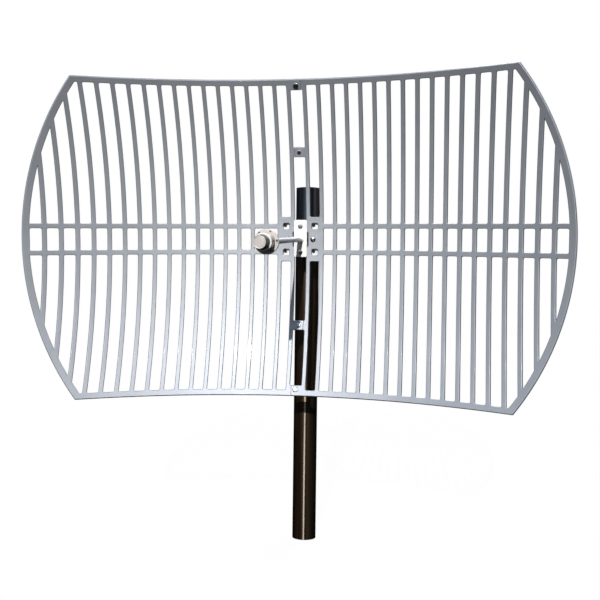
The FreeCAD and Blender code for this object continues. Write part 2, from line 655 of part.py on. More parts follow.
def screw_spots():
    """Six places on the screw circle, as formulas for X and Z."""
    for index in range(6):
        turn = "(disc_screw_angle + 60 * %d)" % index
        yield index, "disc_screw_circle * cos" + turn, "disc_screw_circle * sin" + turn


def make_feed_disc():
    disc = rod("feed_disc_blank", "disc_radius", "disc_thickness", "0", "0 - disc_back", "0", "-Y")
    holes = [rod("feed_disc_boom_hole", "boom_diameter / 2", "disc_thickness / 2", "0",
                 "0 - disc_back", "0", "-Y"),
             rod("feed_disc_coax_hole", "boom_diameter / 2 - boom_wall", "disc_thickness * 2", "0",
                 "0 - disc_back", "0", "-Y")]
    for index, x, z in screw_spots():
        holes.append(rod("feed_disc_hole_%d" % index, "disc_screw_shank", "disc_screw_depth",
                         x, DISC_FRONT, z, "+Y"))
    groove = doc.addObject("Part::Torus", "feed_seal_groove")
    groove.Placement = Placement(Vector(), ALONG["-Y"])
    bind(groove, Radius1="seal_radius", Radius2="seal_section")
    at(groove, "0", DISC_FRONT, "0")
    seal = doc.addObject("Part::Torus", "feed_seal_ring")
    seal.Placement = Placement(Vector(), ALONG["-Y"])
    bind(seal, Radius1="seal_radius", Radius2="seal_section")
    at(seal, "0", DISC_FRONT, "0")
    node("feed_disc", cut("feed_disc", disc, *holes, groove), DISH)
    node("feed_seal", group("feed_seal", [seal]), DISH)
    screws = []
    for index, x, z in screw_spots():
        head = rod("disc_screw_head_%d" % index, "disc_screw_head", "disc_screw_head_height",
                   x, DISC_FRONT, z, "-Y")
        shank = rod("disc_screw_shank_%d" % index, "disc_screw_shank", "disc_screw_depth",
                    x, DISC_FRONT, z, "+Y")
        screws.append(fuse("disc_screw_%d" % index, head, shank))
    node("feed_disc_screws", group("feed_disc_screws", screws), DISH)


def make_feed_housing():
    """Cup over the dipole, with a flange in front."""
    cup = rod("housing_cup", "housing_radius", "housing_length", "0", DISC_FRONT, "0", "-Y")
    cavity = rod("housing_cavity", "housing_cavity", "housing_length - housing_wall", "0", DISC_FRONT, "0", "-Y")
    groove = doc.addObject("Part::Torus", "housing_seal_groove")
    groove.Placement = Placement(Vector(), ALONG["-Y"])
    bind(groove, Radius1="seal_radius", Radius2="seal_section")
    at(groove, "0", DISC_FRONT, "0")
    node("feed_housing", cut("feed_housing", cup, cavity, groove), DISH)
    flange = rod("feed_flange_disc", "flange_radius", "flange_length", "0", HOUSING_FRONT, "0", "-Y")
    node("feed_flange", group("feed_flange", [flange]), DISH)


def make_neck():
    wall = rod("neck_wall", "neck_radius", "neck_length", "0", FLANGE_FRONT, "0", "-Y")
    bore = rod("neck_hollow", "neck_bore", "neck_length", "0", FLANGE_FRONT, "0", "-Y")
    node("feed_neck", cut("feed_neck", wall, bore), DISH)
    lid = rod("cap_lid", "cap_radius", "cap_length", "0", NECK_FRONT, "0", "-Y")
    plug = rod("cap_plug_rod", "neck_bore", "cap_plug", "0", NECK_FRONT, "0", "+Y")
    node("feed_cap", fuse("feed_cap", lid, plug), DISH)


def make_dipole():
    """Dipole across the boom's end: a hub on the inner conductor with two vertical arms."""
    centre = DISC_FRONT + " - dipole_inset"
    arms = rod("dipole_arms", "dipole_radius", "dipole_span", "0", centre, "0 - dipole_span / 2", "+Z")
    hub = rod("dipole_hub_rod", "dipole_hub", "dipole_hub * 2", "0", centre + " + dipole_hub", "0", "-Y")
    node("dipole", fuse("dipole", arms, hub), DISH)


# ---------------------------------------------------------------- coaxial elbow and connector
def make_connector():
    """Right-angle block behind the mount bracket, with a coaxial connector that faces down."""
    half = "elbow_half_width"
    front = "casting_depth + plate_gauge"
    body = block("elbow_block", "0 - " + half, half, front, "connector_depth + " + half, "0 - " + half, half)
    boom = rod("elbow_boom_socket", "boom_diameter / 2", "boom_socket", "0", front, "0", "+Y")
    channel = rod("elbow_channel", "boom_diameter / 2 - boom_wall",
                  "connector_depth - casting_depth - plate_gauge", "0", front, "0", "+Y")
    drop = rod("elbow_drop", "boom_diameter / 2 - boom_wall", "elbow_half_width", "0",
               "connector_depth", "0", "-Z")
    node("feed_elbow", cut("feed_elbow", body, boom, channel, drop), DISH)
    low = "0 - " + half
    flange = rod("connector_flange_disc", "connector_flange", "connector_flange_length", "0", "connector_depth",
                 low, "-Z")
    barrel = rod("connector_barrel", "connector_radius", "connector_flange_length + connector_length", "0",
                 "connector_depth", low, "-Z")
    bore = rod("connector_bore_rod", "connector_bore", "connector_flange_length + connector_length", "0",
               "connector_depth", low, "-Z")
    node("connector_shell", cut("connector_shell", fuse("connector_blank", flange, barrel), bore), DISH)
    bead = rod("insulator_bead", "connector_bore", "insulator_length", "0", "connector_depth", low, "-Z")
    hole = rod("insulator_hole", "connector_contact", "insulator_length", "0", "connector_depth", low, "-Z")
    node("connector_insulator", cut("connector_insulator", bead, hole), DISH)
    contact = rod("contact_rod", "connector_contact", "elbow_half_width + contact_length - conductor_radius", "0",
                  "connector_depth", "0 - conductor_radius", "-Z")
    node("connector_contact", group("connector_contact", [contact]), DISH)


# ---------------------------------------------------------------- build and write
def check_and_write():
    """Refuse any failed feature or bad shape, then write one STEP file per node."""
    doc.recompute()
    for item in doc.Objects:
        if "Invalid" in item.State or "Error" in item.State:
            raise RuntimeError("%s failed: %s" % (item.Label, item.State))
    for piece in NODES:
        if piece.Shape.isNull() or not piece.Shape.isValid() or not piece.Shape.Solids:
            raise RuntimeError("%s has a bad shape" % piece.Label)
    os.makedirs("parts", exist_ok=True)
    for piece in NODES:
        piece.Shape.exportStep("parts/%s.step" % piece.Label)
    print("%d nodes written" % len(NODES))


make_mast()
make_clamp_bracket()
make_u_bolts()
tilt_bolt("tilt_pivot", "0 - pivot_reach", "0", CLAMP, "running_gap", "0")
make_mount_bracket()
tilt_bolt("tilt_lock", LOCK_Y, LOCK_Z, DISH, "0", "running_gap")
make_panels()
make_lap_fasteners()
make_centre_fasteners()
make_feed_plate()
make_boom()
make_feed_head()
make_connector()
check_and_write()
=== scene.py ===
import json
import math

import bmesh
import bpy
from mathutils import Matrix, Vector
from mathutils.geometry import delaunay_2d_cdt


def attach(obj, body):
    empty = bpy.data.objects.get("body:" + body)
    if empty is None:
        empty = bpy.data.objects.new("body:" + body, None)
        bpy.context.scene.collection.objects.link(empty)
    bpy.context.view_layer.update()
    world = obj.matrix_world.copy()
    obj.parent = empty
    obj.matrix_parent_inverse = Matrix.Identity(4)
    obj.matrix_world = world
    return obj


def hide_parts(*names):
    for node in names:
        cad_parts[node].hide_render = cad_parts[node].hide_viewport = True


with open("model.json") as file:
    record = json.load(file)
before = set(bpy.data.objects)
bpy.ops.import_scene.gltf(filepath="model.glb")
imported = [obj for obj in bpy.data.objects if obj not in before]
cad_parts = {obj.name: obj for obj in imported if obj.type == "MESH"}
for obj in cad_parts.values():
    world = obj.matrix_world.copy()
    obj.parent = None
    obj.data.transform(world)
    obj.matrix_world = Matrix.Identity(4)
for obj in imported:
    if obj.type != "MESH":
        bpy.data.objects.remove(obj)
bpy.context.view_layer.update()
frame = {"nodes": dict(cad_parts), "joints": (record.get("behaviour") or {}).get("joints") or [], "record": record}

NODES = frame["nodes"]
RECORD = frame["record"]

MM = 0.001
FOCAL = 350.0
DISH_R, DISH_H = 500.0, 300.0
RIM, EDGE_RAIL = 11.0, 10.5
RIB, RIB_FIRST, RIB_PITCH, RIB_COUNT = 7.8, 15.2, 26.49, 18
CROSS_Z, CROSS_H = 25.5, 8.8
PAD_H = 43.5
PAD_HOLE, PAD_HOLE_X = 12.0, 28.3
NOTCH_X, NOTCH_Z = 15.2, 14.0
TAB_REACH, END_TAB, MID_TAB, MID_TAB_Z = 9.0, 19.0, 18.5, 168.0
CORNER_R, OUTLINE_R = 3.0, 2.0
STEP = 12.0
SMALLEST_WINDOW = 60.0
THICK, EDGE_ROUND = 6.0, 1.3
PIVOT_DEPTH = 40.0
BOOM_HOLE_R = 5.05
PLATE_GAUGE, PLATE_EDGE = 2.0, 0.5
DISC_R, DISC_BACK, DISC_FRONT = 20.4, 340.0, 346.5
HOUSING_R, HOUSING_FRONT, FLANGE_FRONT = 14.6, 371.9, 376.0
NECK_R, CAP_BACK, CAP_FRONT, CAP_R = 11.2, 398.0, 402.0, 10.3
BEVEL_WIDTH, BEVEL_ANGLE = 0.0004, 40
FLAT_CORNER = 25.0


# ------------------------------------------------------------------ frames
def joint(name):
    return next(j for j in frame["joints"] if j["name"] == name)


def mount(name):
    return next(m for m in RECORD["mounts"] if m["name"] == name)


PIVOT = Vector(joint("elevation")["pos_m"])
CONNECTOR_AXIS = Vector(mount("coax_connector")["axis"])
REST_TILT = math.atan2(CONNECTOR_AXIS.y, -CONNECTOR_AXIS.z)
DISH = (Matrix.Translation(PIVOT) @ Matrix.Rotation(REST_TILT, 4, "X")
        @ Matrix.Translation((0, -PIVOT_DEPTH * MM, 0)))


# ------------------------------------------------------------------ materials
def new_material(name):
    mat = bpy.data.materials.new(name)
    mat.use_nodes = True
    nodes = mat.node_tree.nodes
    links = mat.node_tree.links
    return mat, nodes, links, nodes["Principled BSDF"]


def noise(nodes, links, scale, detail=3.0, stretch=None, rough=0.5):
    """Noise on object coordinates, in metres; stretch squeezes it along an axis."""
    coords = nodes.new("ShaderNodeTexCoord")
    mapping = nodes.new("ShaderNodeMapping")
    if stretch:
        mapping.inputs["Scale"].default_value = stretch
    tex = nodes.new("ShaderNodeTexNoise")
    tex.inputs["Scale"].default_value = scale
    tex.inputs["Detail"].default_value = detail
    tex.inputs["Roughness"].default_value = rough
    links.new(coords.outputs["Object"], mapping.inputs["Vector"])
    links.new(mapping.outputs["Vector"], tex.inputs["Vector"])
    return tex


def ramp(nodes, links, source, stops):
    """Colour ramp over a factor; stops are (position, colour) or (position, value)."""
    node = nodes.new("ShaderNodeValToRGB")
    elements = node.color_ramp.elements
    while len(elements) < len(stops):
        elements.new(0.5)
    for element, (place, colour) in zip(elements, stops):
        element.position = place
        tone = colour if isinstance(colour, tuple) else (colour,) * 3
        element.color = (*tone, 1.0)
    links.new(source, node.inputs["Fac"])
    return node


def bump(nodes, links, height, strength, distance):
    node = nodes.new("ShaderNodeBump")
    node.inputs["Strength"].default_value = strength
    node.inputs["Distance"].default_value = distance
    links.new(height, node.inputs["Height"])
    return node


def span(nodes, links, source, low, high):
    """Source mapped so that low gives 0 and high gives 1."""
    node = nodes.new("ShaderNodeMapRange")
    node.inputs["From Min"].default_value = low
    node.inputs["From Max"].default_value = high
    links.new(source, node.inputs["Value"])
    return node


def colour_mix(nodes):
    node = nodes.new("ShaderNodeMix")
    node.data_type = "RGBA"
    return node


def coated(name, dark, light, metallic, rough_low, rough_high, blotch, grain, grain_depth, coat=0.0):
    """Painted or plated metal: soft blotches of tone, fine grain in the relief and the gloss."""
    mat, nodes, links, shader = new_material(name)
    broad = noise(nodes, links, blotch, 5.0)
    tone = ramp(nodes, links, broad.outputs["Fac"], [(0.3, dark), (0.7, light)])
    links.new(tone.outputs["Color"], shader.inputs["Base Color"])
    fine = noise(nodes, links, grain, 4.0, rough=0.6)
    gloss = ramp(nodes, links, fine.outputs["Fac"], [(0.3, rough_low), (0.75, rough_high)])
    links.new(gloss.outputs["Color"], shader.inputs["Roughness"])
    relief = bump(nodes, links, fine.outputs["Fac"], 0.5, grain_depth)
    links.new(relief.outputs["Normal"], shader.inputs["Normal"])
    shader.inputs["Metallic"].default_value = metallic
    shader.inputs["Coat Weight"].default_value = coat
    shader.inputs["Coat Roughness"].default_value = 0.08
    return mat


def brushed(name, dark, light, rough_low, rough_high, stretch, scratch=900.0, depth=0.00002):
    """Bare metal with fine lines along one direction."""
    mat, nodes, links, shader = new_material(name)
    lines = noise(nodes, links, scratch, 3.0, stretch)
    smudge = noise(nodes, links, 70.0, 4.0)
    tone = ramp(nodes, links, smudge.outputs["Fac"], [(0.32, dark), (0.68, light)])
    links.new(tone.outputs["Color"], shader.inputs["Base Color"])
    gloss = ramp(nodes, links, lines.outputs["Fac"], [(0.25, rough_low), (0.75, rough_high)])
    links.new(gloss.outputs["Color"], shader.inputs["Roughness"])
    relief = bump(nodes, links, lines.outputs["Fac"], 0.35, depth)
    links.new(relief.outputs["Normal"], shader.inputs["Normal"])
    shader.inputs["Metallic"].default_value = 1.0
    return mat


# Tones across the tube by X, as the photograph's front view shows them.  They are painted light and shade: the
# tube darkens towards both sides as painted shade, the bright line is a painted highlight of that view with a
# line of painted shade beside it, not a mark on the mast, and the bluish band up the head is a painted reflection.
MAST_LOW_TONE_AND_PAINTED_LIGHT = [(0.0, (0.003, 0.001, 0.001)), (0.2, (0.009, 0.004, 0.002)), (0.44, (0.014, 0.009, 0.006)),
            (0.515, (0.03, 0.023, 0.017)), (0.535, (0.5, 0.44, 0.36)), (0.565, (0.5, 0.44, 0.36)),
            (0.585, (0.004, 0.002, 0.001)), (0.62, (0.004, 0.002, 0.001)), (0.68, (0.017, 0.013, 0.008)),
            (0.86, (0.01, 0.006, 0.003)), (1.0, (0.003, 0.001, 0.001))]
MAST_HIGH_TONE_AND_PAINTED_LIGHT = [(0.0, (0.004, 0.003, 0.004)), (0.35, (0.003, 0.004, 0.008)), (0.5, (0.03, 0.045, 0.06)),
             (0.62, (0.03, 0.045, 0.06)), (0.74, (0.003, 0.004, 0.01)), (0.84, (0.035, 0.03, 0.032)),
             (0.94, (0.03, 0.024, 0.018)), (1.0, (0.005, 0.004, 0.003))]
MAST_HALF_WIDTH = 0.025
MAST_CHANGE_LOW, MAST_CHANGE_HIGH = 0.55, 0.66


def mast_paint():
    """Paint on the mast: blue-black at its head, brown lower down, long streaks, and across the tube painted
    shade, a painted highlight line and a painted reflection.
    """
    mat, nodes, links, shader = new_material("mast_gloss_paint")
    coords = nodes.new("ShaderNodeTexCoord")
    split = nodes.new("ShaderNodeSeparateXYZ")
    links.new(coords.outputs["Object"], split.inputs["Vector"])
    streaks = noise(nodes, links, 95.0, 4.0, (1, 1, 0.03), 0.6)
    across = span(nodes, links, split.outputs["X"], -MAST_HALF_WIDTH, MAST_HALF_WIDTH)
    # Colour across the tube: the mast's own tone with painted shade, a painted highlight and a painted reflection.
    low = ramp(nodes, links, across.outputs["Result"], MAST_LOW_TONE_AND_PAINTED_LIGHT)
    high = ramp(nodes, links, across.outputs["Result"], MAST_HIGH_TONE_AND_PAINTED_LIGHT)
    upright = span(nodes, links, split.outputs["Z"], MAST_CHANGE_LOW, MAST_CHANGE_HIGH)
    mix = colour_mix(nodes)
    links.new(upright.outputs["Result"], mix.inputs["Factor"])
    links.new(low.outputs["Color"], mix.inputs["A"])
    links.new(high.outputs["Color"], mix.inputs["B"])
    worn = colour_mix(nodes)
    worn.blend_type = "MULTIPLY"
    worn.inputs["Factor"].default_value = 1.0
    fade = ramp(nodes, links, streaks.outputs["Fac"], [(0.3, 0.45), (0.7, 1.25)])
    links.new(mix.outputs["Result"], worn.inputs["A"])
    links.new(fade.outputs["Color"], worn.inputs["B"])
    links.new(worn.outputs["Result"], shader.inputs["Base Color"])
    gloss = ramp(nodes, links, streaks.outputs["Fac"], [(0.3, 0.22), (0.7, 0.4)])
    links.new(gloss.outputs["Color"], shader.inputs["Roughness"])
    relief = bump(nodes, links, streaks.outputs["Fac"], 0.3, 0.0001)
    links.new(relief.outputs["Normal"], shader.inputs["Normal"])
    tint = colour_mix(nodes)
    links.new(upright.outputs["Result"], tint.inputs["Factor"])
    tint.inputs["A"].default_value = (1.0, 0.72, 0.5, 1.0)
    tint.inputs["B"].default_value = (0.75, 0.85, 1.0, 1.0)
    links.new(tint.outputs["Result"], shader.inputs["Specular Tint"])
    shader.inputs["Specular IOR Level"].default_value = 0.75
    return mat


GRID_PAINT = coated("grid_paint_coat", (0.34, 0.37, 0.418), (0.39, 0.42, 0.468),
                    0.62, 0.52, 0.62, 14.0, 1400.0, 0.00004, coat=0.25)
MAST_PAINT = mast_paint()
STAINLESS = brushed("stainless_sheet", (0.84, 0.84, 0.83), (0.95, 0.94, 0.93), 0.38, 0.5, (1, 1, 0.06))
BOOM_METAL = coated("boom_drawn_tube", (0.58, 0.58, 0.59), (0.68, 0.68, 0.69),
                    0.75, 0.44, 0.54, 40.0, 900.0, 0.00002)
# A darker copy of the feed metal for the housing and neck sides: painted shade.
FEED_PAINTED_SHADE = coated("feed_sides_painted_shade", (0.17, 0.165, 0.155), (0.25, 0.24, 0.225),
                   0.8, 0.24, 0.34, 60.0, 1800.0, 0.00003)
# A lighter copy of the feed metal for the flange: painted light.
FEED_PAINTED_LIGHT = coated("feed_ring_painted_light", (0.86, 0.85, 0.84), (0.93, 0.92, 0.91),
                     0.3, 0.3, 0.4, 60.0, 1800.0, 0.00003)
FEED_METAL = coated("feed_turned_metal", (0.56, 0.53, 0.515), (0.66, 0.63, 0.615),
                    0.4, 0.36, 0.46, 60.0, 1800.0, 0.00003)
ZINC = coated("zinc_plate", (0.74, 0.75, 0.77), (0.84, 0.85, 0.87), 0.3, 0.4, 0.52, 60.0, 500.0, 0.00003)
BOLT_STEEL = coated("bolt_steel", (0.5, 0.5, 0.5), (0.64, 0.64, 0.63),
                    1.0, 0.18, 0.28, 120.0, 900.0, 0.00002)
RUBBER = coated("seal_rubber_black", (0.003, 0.003, 0.004), (0.006, 0.006, 0.007),
                0.0, 0.6, 0.75, 90.0, 1200.0, 0.00003)
INSULATOR = coated("white_insulator_resin", (0.8, 0.8, 0.77), (0.88, 0.88, 0.86),
                   0.0, 0.4, 0.5, 90.0, 900.0, 0.00002)
BRASS = brushed("contact_brass_bare", (0.7, 0.52, 0.25), (0.8, 0.62, 0.33), 0.2, 0.3, (1, 1, 1))
NICKEL = brushed("nickel_plating", (0.62, 0.59, 0.54), (0.72, 0.69, 0.64), 0.16, 0.26, (1, 1, 1))


# ------------------------------------------------------------------ mesh helpers
def add_piece(name, mesh, material, nodes=()):
    """Link a mesh as a piece that rides on the reflector and stands for its CAD nodes."""
    mesh.materials.clear()
    mesh.materials.append(material)
    piece = bpy.data.objects.new(name, mesh)
    bpy.context.scene.collection.objects.link(piece)
    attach(piece, "reflector")
    if nodes:
        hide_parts(*nodes)
    return piece


def finish_piece(name, mesh, material, nodes=(), smooth_angle=38.0):
    """Seat a dish-frame mesh on the reflector, smooth up to an angle."""
    mesh.transform(DISH)
    mesh.polygons.foreach_set("use_smooth", [True] * len(mesh.polygons))
    mesh.set_sharp_from_angle(angle=math.radians(smooth_angle))
    piece = add_piece(name, mesh, material, nodes)
    piece.modifiers.new("weighted", "WEIGHTED_NORMAL").keep_sharp = True


def mesh_from(bm, name):
    mesh = bpy.data.meshes.new(name)
    bm.normal_update()
    bm.to_mesh(mesh)
    bm.free()
    return mesh


def join_meshes(name, meshes):
    bm = bmesh.new()
    for mesh in meshes:
        bm.from_mesh(mesh)
    return mesh_from(bm, name)


def scaled(mesh):
    """Millimetres to metres."""
    mesh.transform(Matrix.Scale(MM, 4))
    return mesh


def rounded(points, radius, closed=True, steps=3):
    """Outline with its corners turned into short arcs; corners flatter than FLAT_CORNER stay."""
    out = []
    count = len(points)
    for i, point in enumerate(points):
        if not closed and i in (0, count - 1):
            out.append(Vector(point))
            continue
        here = Vector(point)
        before = Vector(points[i - 1]) - here
        after = Vector(points[(i + 1) % count]) - here
        turn = math.pi - before.angle(after)
        if math.degrees(turn) < FLAT_CORNER:
            out.append(here)
            continue
        reach = min(radius * math.tan(turn / 2), before.length * 0.45, after.length * 0.45)
        start = here + before.normalized() * reach
        end = here + after.normalized() * reach
        for k in range(steps + 1):
            s = k / steps
            out.append(start * (1 - s) ** 2 + here * 2 * s * (1 - s) + end * s * s)
    return out


def lathe(profile, segments, axis="-Y"):
    """Surface of revolution; the profile holds (radius, distance along the axis)."""
    bm = bmesh.new()
    rings = []
    for radius, along in profile:
        if radius < 1e-6:
            rings.append([bm.verts.new((0, 0, along))])
            continue
        ring = []
        for k in range(segments):
            turn = 2 * math.pi * k / segments
            ring.append(bm.verts.new((radius * math.cos(turn), radius * math.sin(turn), along)))
        rings.append(ring)
    for low, high in zip(rings, rings[1:]):
        for k in range(segments):
            nxt = (k + 1) % segments
            corners = [low[k % len(low)], low[nxt % len(low)],
                       high[nxt % len(high)], high[k % len(high)]]
            unique = list(dict.fromkeys(corners))
            if len(unique) > 2:
                bm.faces.new(unique)
    bmesh.ops.recalc_face_normals(bm, faces=bm.faces)
    mesh = mesh_from(bm, "lathe")
    quarter = 90 if axis == "-Y" else -90
    mesh.transform(Matrix.Rotation(math.radians(quarter), 4, "X"))
    return mesh


def boolean(mesh, tool, operation):
    base = bpy.data.objects.new("base", mesh)
    other = bpy.data.objects.new("tool", tool)
    for item in (base, other):
        bpy.context.scene.collection.objects.link(item)
    cutter = base.modifiers.new("cut", "BOOLEAN")
    cutter.operation = operation
    cutter.solver = "EXACT"
    cutter.object = other
    graph = bpy.context.evaluated_depsgraph_get()
    result = bpy.data.meshes.new_from_object(base.evaluated_get(graph))
    for item in (base, other):
        bpy.data.objects.remove(item)
    return result


def divided(loop, step):
    """The same closed outline with no edge longer than step."""
    out = []
    for here, there in zip(loop, list(loop[1:]) + [loop[0]]):
        here, there = Vector(here), Vector(there)
        count = max(1, math.ceil((there - here).length / step))
        out += [here.lerp(there, k / count) for k in range(count)]
    return out


# ------------------------------------------------------------------ reflector halves
def clipped(points, axis, limit, keep_low):
    """Convex outline cut by a straight line across one axis."""
    def inside(p):
        return p[axis] <= limit if keep_low else p[axis] >= limit

    out = []
    for here, there in zip(points, points[1:] + points[:1]):
        if inside(here):
            out.append(here)
        if inside(here) != inside(there):
            share = (limit - here[axis]) / (there[axis] - here[axis])
            out.append(here.lerp(there, share))
    return out


def circle(radius, step):
    count = round(2 * math.pi * radius / step)
    turns = [2 * math.pi * k / count for k in range(count)]
    return [Vector((radius * math.cos(turn), radius * math.sin(turn))) for turn in turns]


def window(low, high, bottom, top):
    """Opening between two ribs, cut short by the rim's inner circle."""
    points = circle(DISH_R - RIM, 5.0)
    cuts = ((0, low, False), (0, high, True), (1, bottom, False), (1, top, True))
    for axis, limit, keep_low in cuts:
        if points:
            points = clipped(points, axis, limit, keep_low)
    return points


def area(points):
    return abs(sum(a.x * b.y - b.x * a.y for a, b in zip(points, points[1:] + points[:1]))) / 2


def window_loops():
    rail = CROSS_H / 2
    edge = DISH_H - EDGE_RAIL
    bands = [(CROSS_Z + rail, edge), (rail - CROSS_Z, CROSS_Z - rail), (-edge, -CROSS_Z - rail)]
    pad_bands = [(PAD_H, edge), (-edge, -PAD_H)]
    loops = []
    for bay in range(RIB_COUNT):
        low = RIB_FIRST + bay * RIB_PITCH + RIB / 2
        high = low + RIB_PITCH - RIB
        for bottom, top in (pad_bands if bay == 0 else bands):
            points = window(low, high, bottom, top)
            if len(points) > 2 and area(points) > SMALLEST_WINDOW:
                loops.append(points)
    for level in (-1, 1):
        half = PAD_HOLE / 2
        middle = level * CROSS_Z
        corners = ((-1, -1), (1, -1), (1, 1), (-1, 1))
        loops.append([Vector((PAD_HOLE_X + i * half, middle + j * half)) for i, j in corners])
    return loops


def outline():
    """Outline of the right half, with its lap tabs reaching over the centre gap."""
    inner = RIB_FIRST - RIB / 2
    points = circle(DISH_R, 6.0)
    for axis, limit, keep_low in ((0, inner, False), (1, -DISH_H, False), (1, DISH_H, True)):
        points = clipped(points, axis, limit, keep_low)
    start = min(range(len(points)), key=lambda k: (round(points[k].x, 2), points[k].y))
    points = points[start:] + points[:start]
    if abs(points[1].x - inner) < 0.01:
        points = points[1:] + points[:1]
    low_end = DISH_H - END_TAB
    half = MID_TAB / 2
    reach = -TAB_REACH
    tabs = [(reach, DISH_H), (reach, low_end), (inner, low_end),
            (inner, MID_TAB_Z + half), (reach, MID_TAB_Z + half), (reach, MID_TAB_Z - half),
            (inner, MID_TAB_Z - half), (inner, NOTCH_Z), (NOTCH_X, NOTCH_Z), (NOTCH_X, -NOTCH_Z),
            (inner, -NOTCH_Z),
            (inner, -MID_TAB_Z + half), (reach, -MID_TAB_Z + half), (reach, -MID_TAB_Z - half),
            (inner, -MID_TAB_Z - half), (inner, -low_end), (reach, -low_end), (reach, -DISH_H)]
    body = [p for p in points if p.x > inner + 0.01]
    body.sort(key=lambda p: math.atan2(p.y, p.x))
    return body + [Vector(p) for p in tabs]


def offset_loop(loop, distance, hole):
    """Points moved into the material by a distance, with their outward directions."""
    moved, outward = [], []
    count = len(loop)
    turning = sum(a.x * b.y - b.x * a.y for a, b in zip(loop, loop[1:] + loop[:1]))
    sense = (1 if turning > 0 else -1) * (-1 if hole else 1)
    for k in range(count):
        before = (loop[k] - loop[k - 1]).normalized()
        after = (loop[(k + 1) % count] - loop[k]).normalized()
        one = Vector((before.y, -before.x)) * sense
        two = Vector((after.y, -after.x)) * sense
        middle = (one + two).normalized()
        stretch = 1 / max(0.5, middle.dot(one))
        moved.append(loop[k] - middle * distance * stretch)
        outward.append(middle)
    return moved, outward


def plate_mesh(name, outer, holes, thickness, edge, seat, turn):
    """Plate with softly rounded edges, on the reflector.

    Seat maps (x, depth, z) to a point and the normal of the front there.
    """
    verts, normals, faces = [], [], []
    rings = []
    for number, loop in enumerate([outer] + holes):
        inset, outward = offset_loop(loop, edge, number > 0)
        rings.append((loop, inset, outward))
    flat, owner = [], []
    for number, (loop, inset, outward) in enumerate(rings):
        flat += inset
        owner += [number] * len(inset)
    edges, start = [], 0
    for loop, inset, outward in rings:
        edges += [(start + k, start + (k + 1) % len(loop)) for k in range(len(loop))]
        start += len(loop)
    points, _, triangles, source, _, _ = delaunay_2d_cdt(flat, edges, [], 1, 1e-6)
    first = [ids[0] for ids in source]
    total = len(flat)
    for layer in range(4):
        depth = (0.0, edge, thickness - edge, thickness)[layer]
        for loop, inset, outward in rings:
            for place, rim, out in zip(loop, inset, outward):
                spot = rim if layer in (0, 3) else place
                point, front = seat(spot.x, depth, spot.y)
                side = Vector((out.x, 0, out.y))
                side = (side - front * side.dot(front)).normalized()
                verts.append(point)
                normals.append((front, side, side, -front)[layer])
    for triangle in triangles:
        ids = [first[k] for k in triangle]
        if owner[ids[0]] and owner[ids[0]] == owner[ids[1]] == owner[ids[2]]:
            continue
        faces.append(tuple(ids))
        faces.append(tuple(total * 3 + k for k in reversed(ids)))
    start = 0
    for loop, inset, outward in rings:
        count = len(loop)
        for layer in range(3):
            base = layer * total + start
            for k in range(count):
                nxt = (k + 1) % count
                faces.append((base + k, base + nxt, base + total + nxt, base + total + k))
        start += count
    bm = bmesh.new()
    made = [bm.verts.new(v) for v in verts]
    for face in faces:
        bm.faces.new([made[k] for k in face])
    bmesh.ops.recalc_face_normals(bm, faces=bm.faces)
    mesh = mesh_from(bm, name)
    scaled(mesh).transform(turn)
    mesh.transform(DISH)
    spin = (DISH @ turn).to_3x3()
    mesh.polygons.foreach_set("use_smooth", [True] * len(mesh.polygons))
    mesh.normals_split_custom_set_from_vertices([spin @ n for n in normals])
    return mesh


def paraboloid_seat(x, depth, z):
    """Point behind the paraboloid's front, and the front's normal; lap tabs keep half the depth."""
    slope = Vector((x / (2 * FOCAL), 1.0, z / (2 * FOCAL))).normalized()
    if x < RIB_FIRST - RIB / 2 - 0.5:
        front_tab = z < -DISH_H + END_TAB + 5 or abs(z - MID_TAB_Z) < MID_TAB
        depth = depth / 2 if front_tab else (THICK + depth) / 2
    return Vector((x, -(x * x + z * z) / (4 * FOCAL), z)) + slope * depth * slope.y, -slope


def build_panels():
    outer = divided(rounded(outline(), OUTLINE_R), STEP)
    holes = [divided(rounded(loop, CORNER_R, steps=4), STEP) for loop in window_loops()]
    for side, turn in (("right", 0.0), ("left", 180.0)):
        mesh = plate_mesh("panel_" + side, outer, holes, THICK, EDGE_ROUND, paraboloid_seat,
                          Matrix.Rotation(math.radians(turn), 4, "Y"))
        add_piece("panel_" + side, mesh, GRID_PAINT, ["grid_panel_" + side])


# ------------------------------------------------------------------ feed head, turned parts
def rounded_profile(points, radius):
    """Turned profile (radius, distance ahead of the vertex) with small rounded corners."""
    return [(p.x, p.y) for p in rounded([Vector(p) for p in points], radius, closed=False, steps=4)]


def turned(name, profile, material, nodes, radius):
    mesh = scaled(lathe(rounded_profile(profile, radius), 128))
    finish_piece(name, mesh, material, nodes, smooth_angle=42.0)


def neck_profile():
    """Root collar, four low ridges and the step down to the cap."""
    profile = [(12.2, FLANGE_FRONT), (12.2, 378.6), (NECK_R, 379.1)]
    for k in range(4):
        start = 380.6 + 3.6 * k
        profile += [(NECK_R, start), (NECK_R + 0.45, start + 0.7),
                    (NECK_R + 0.45, start + 1.6), (NECK_R, start + 2.3)]
    return profile + [(NECK_R, 396.4), (9.9, 397.2), (9.9, CAP_BACK)]


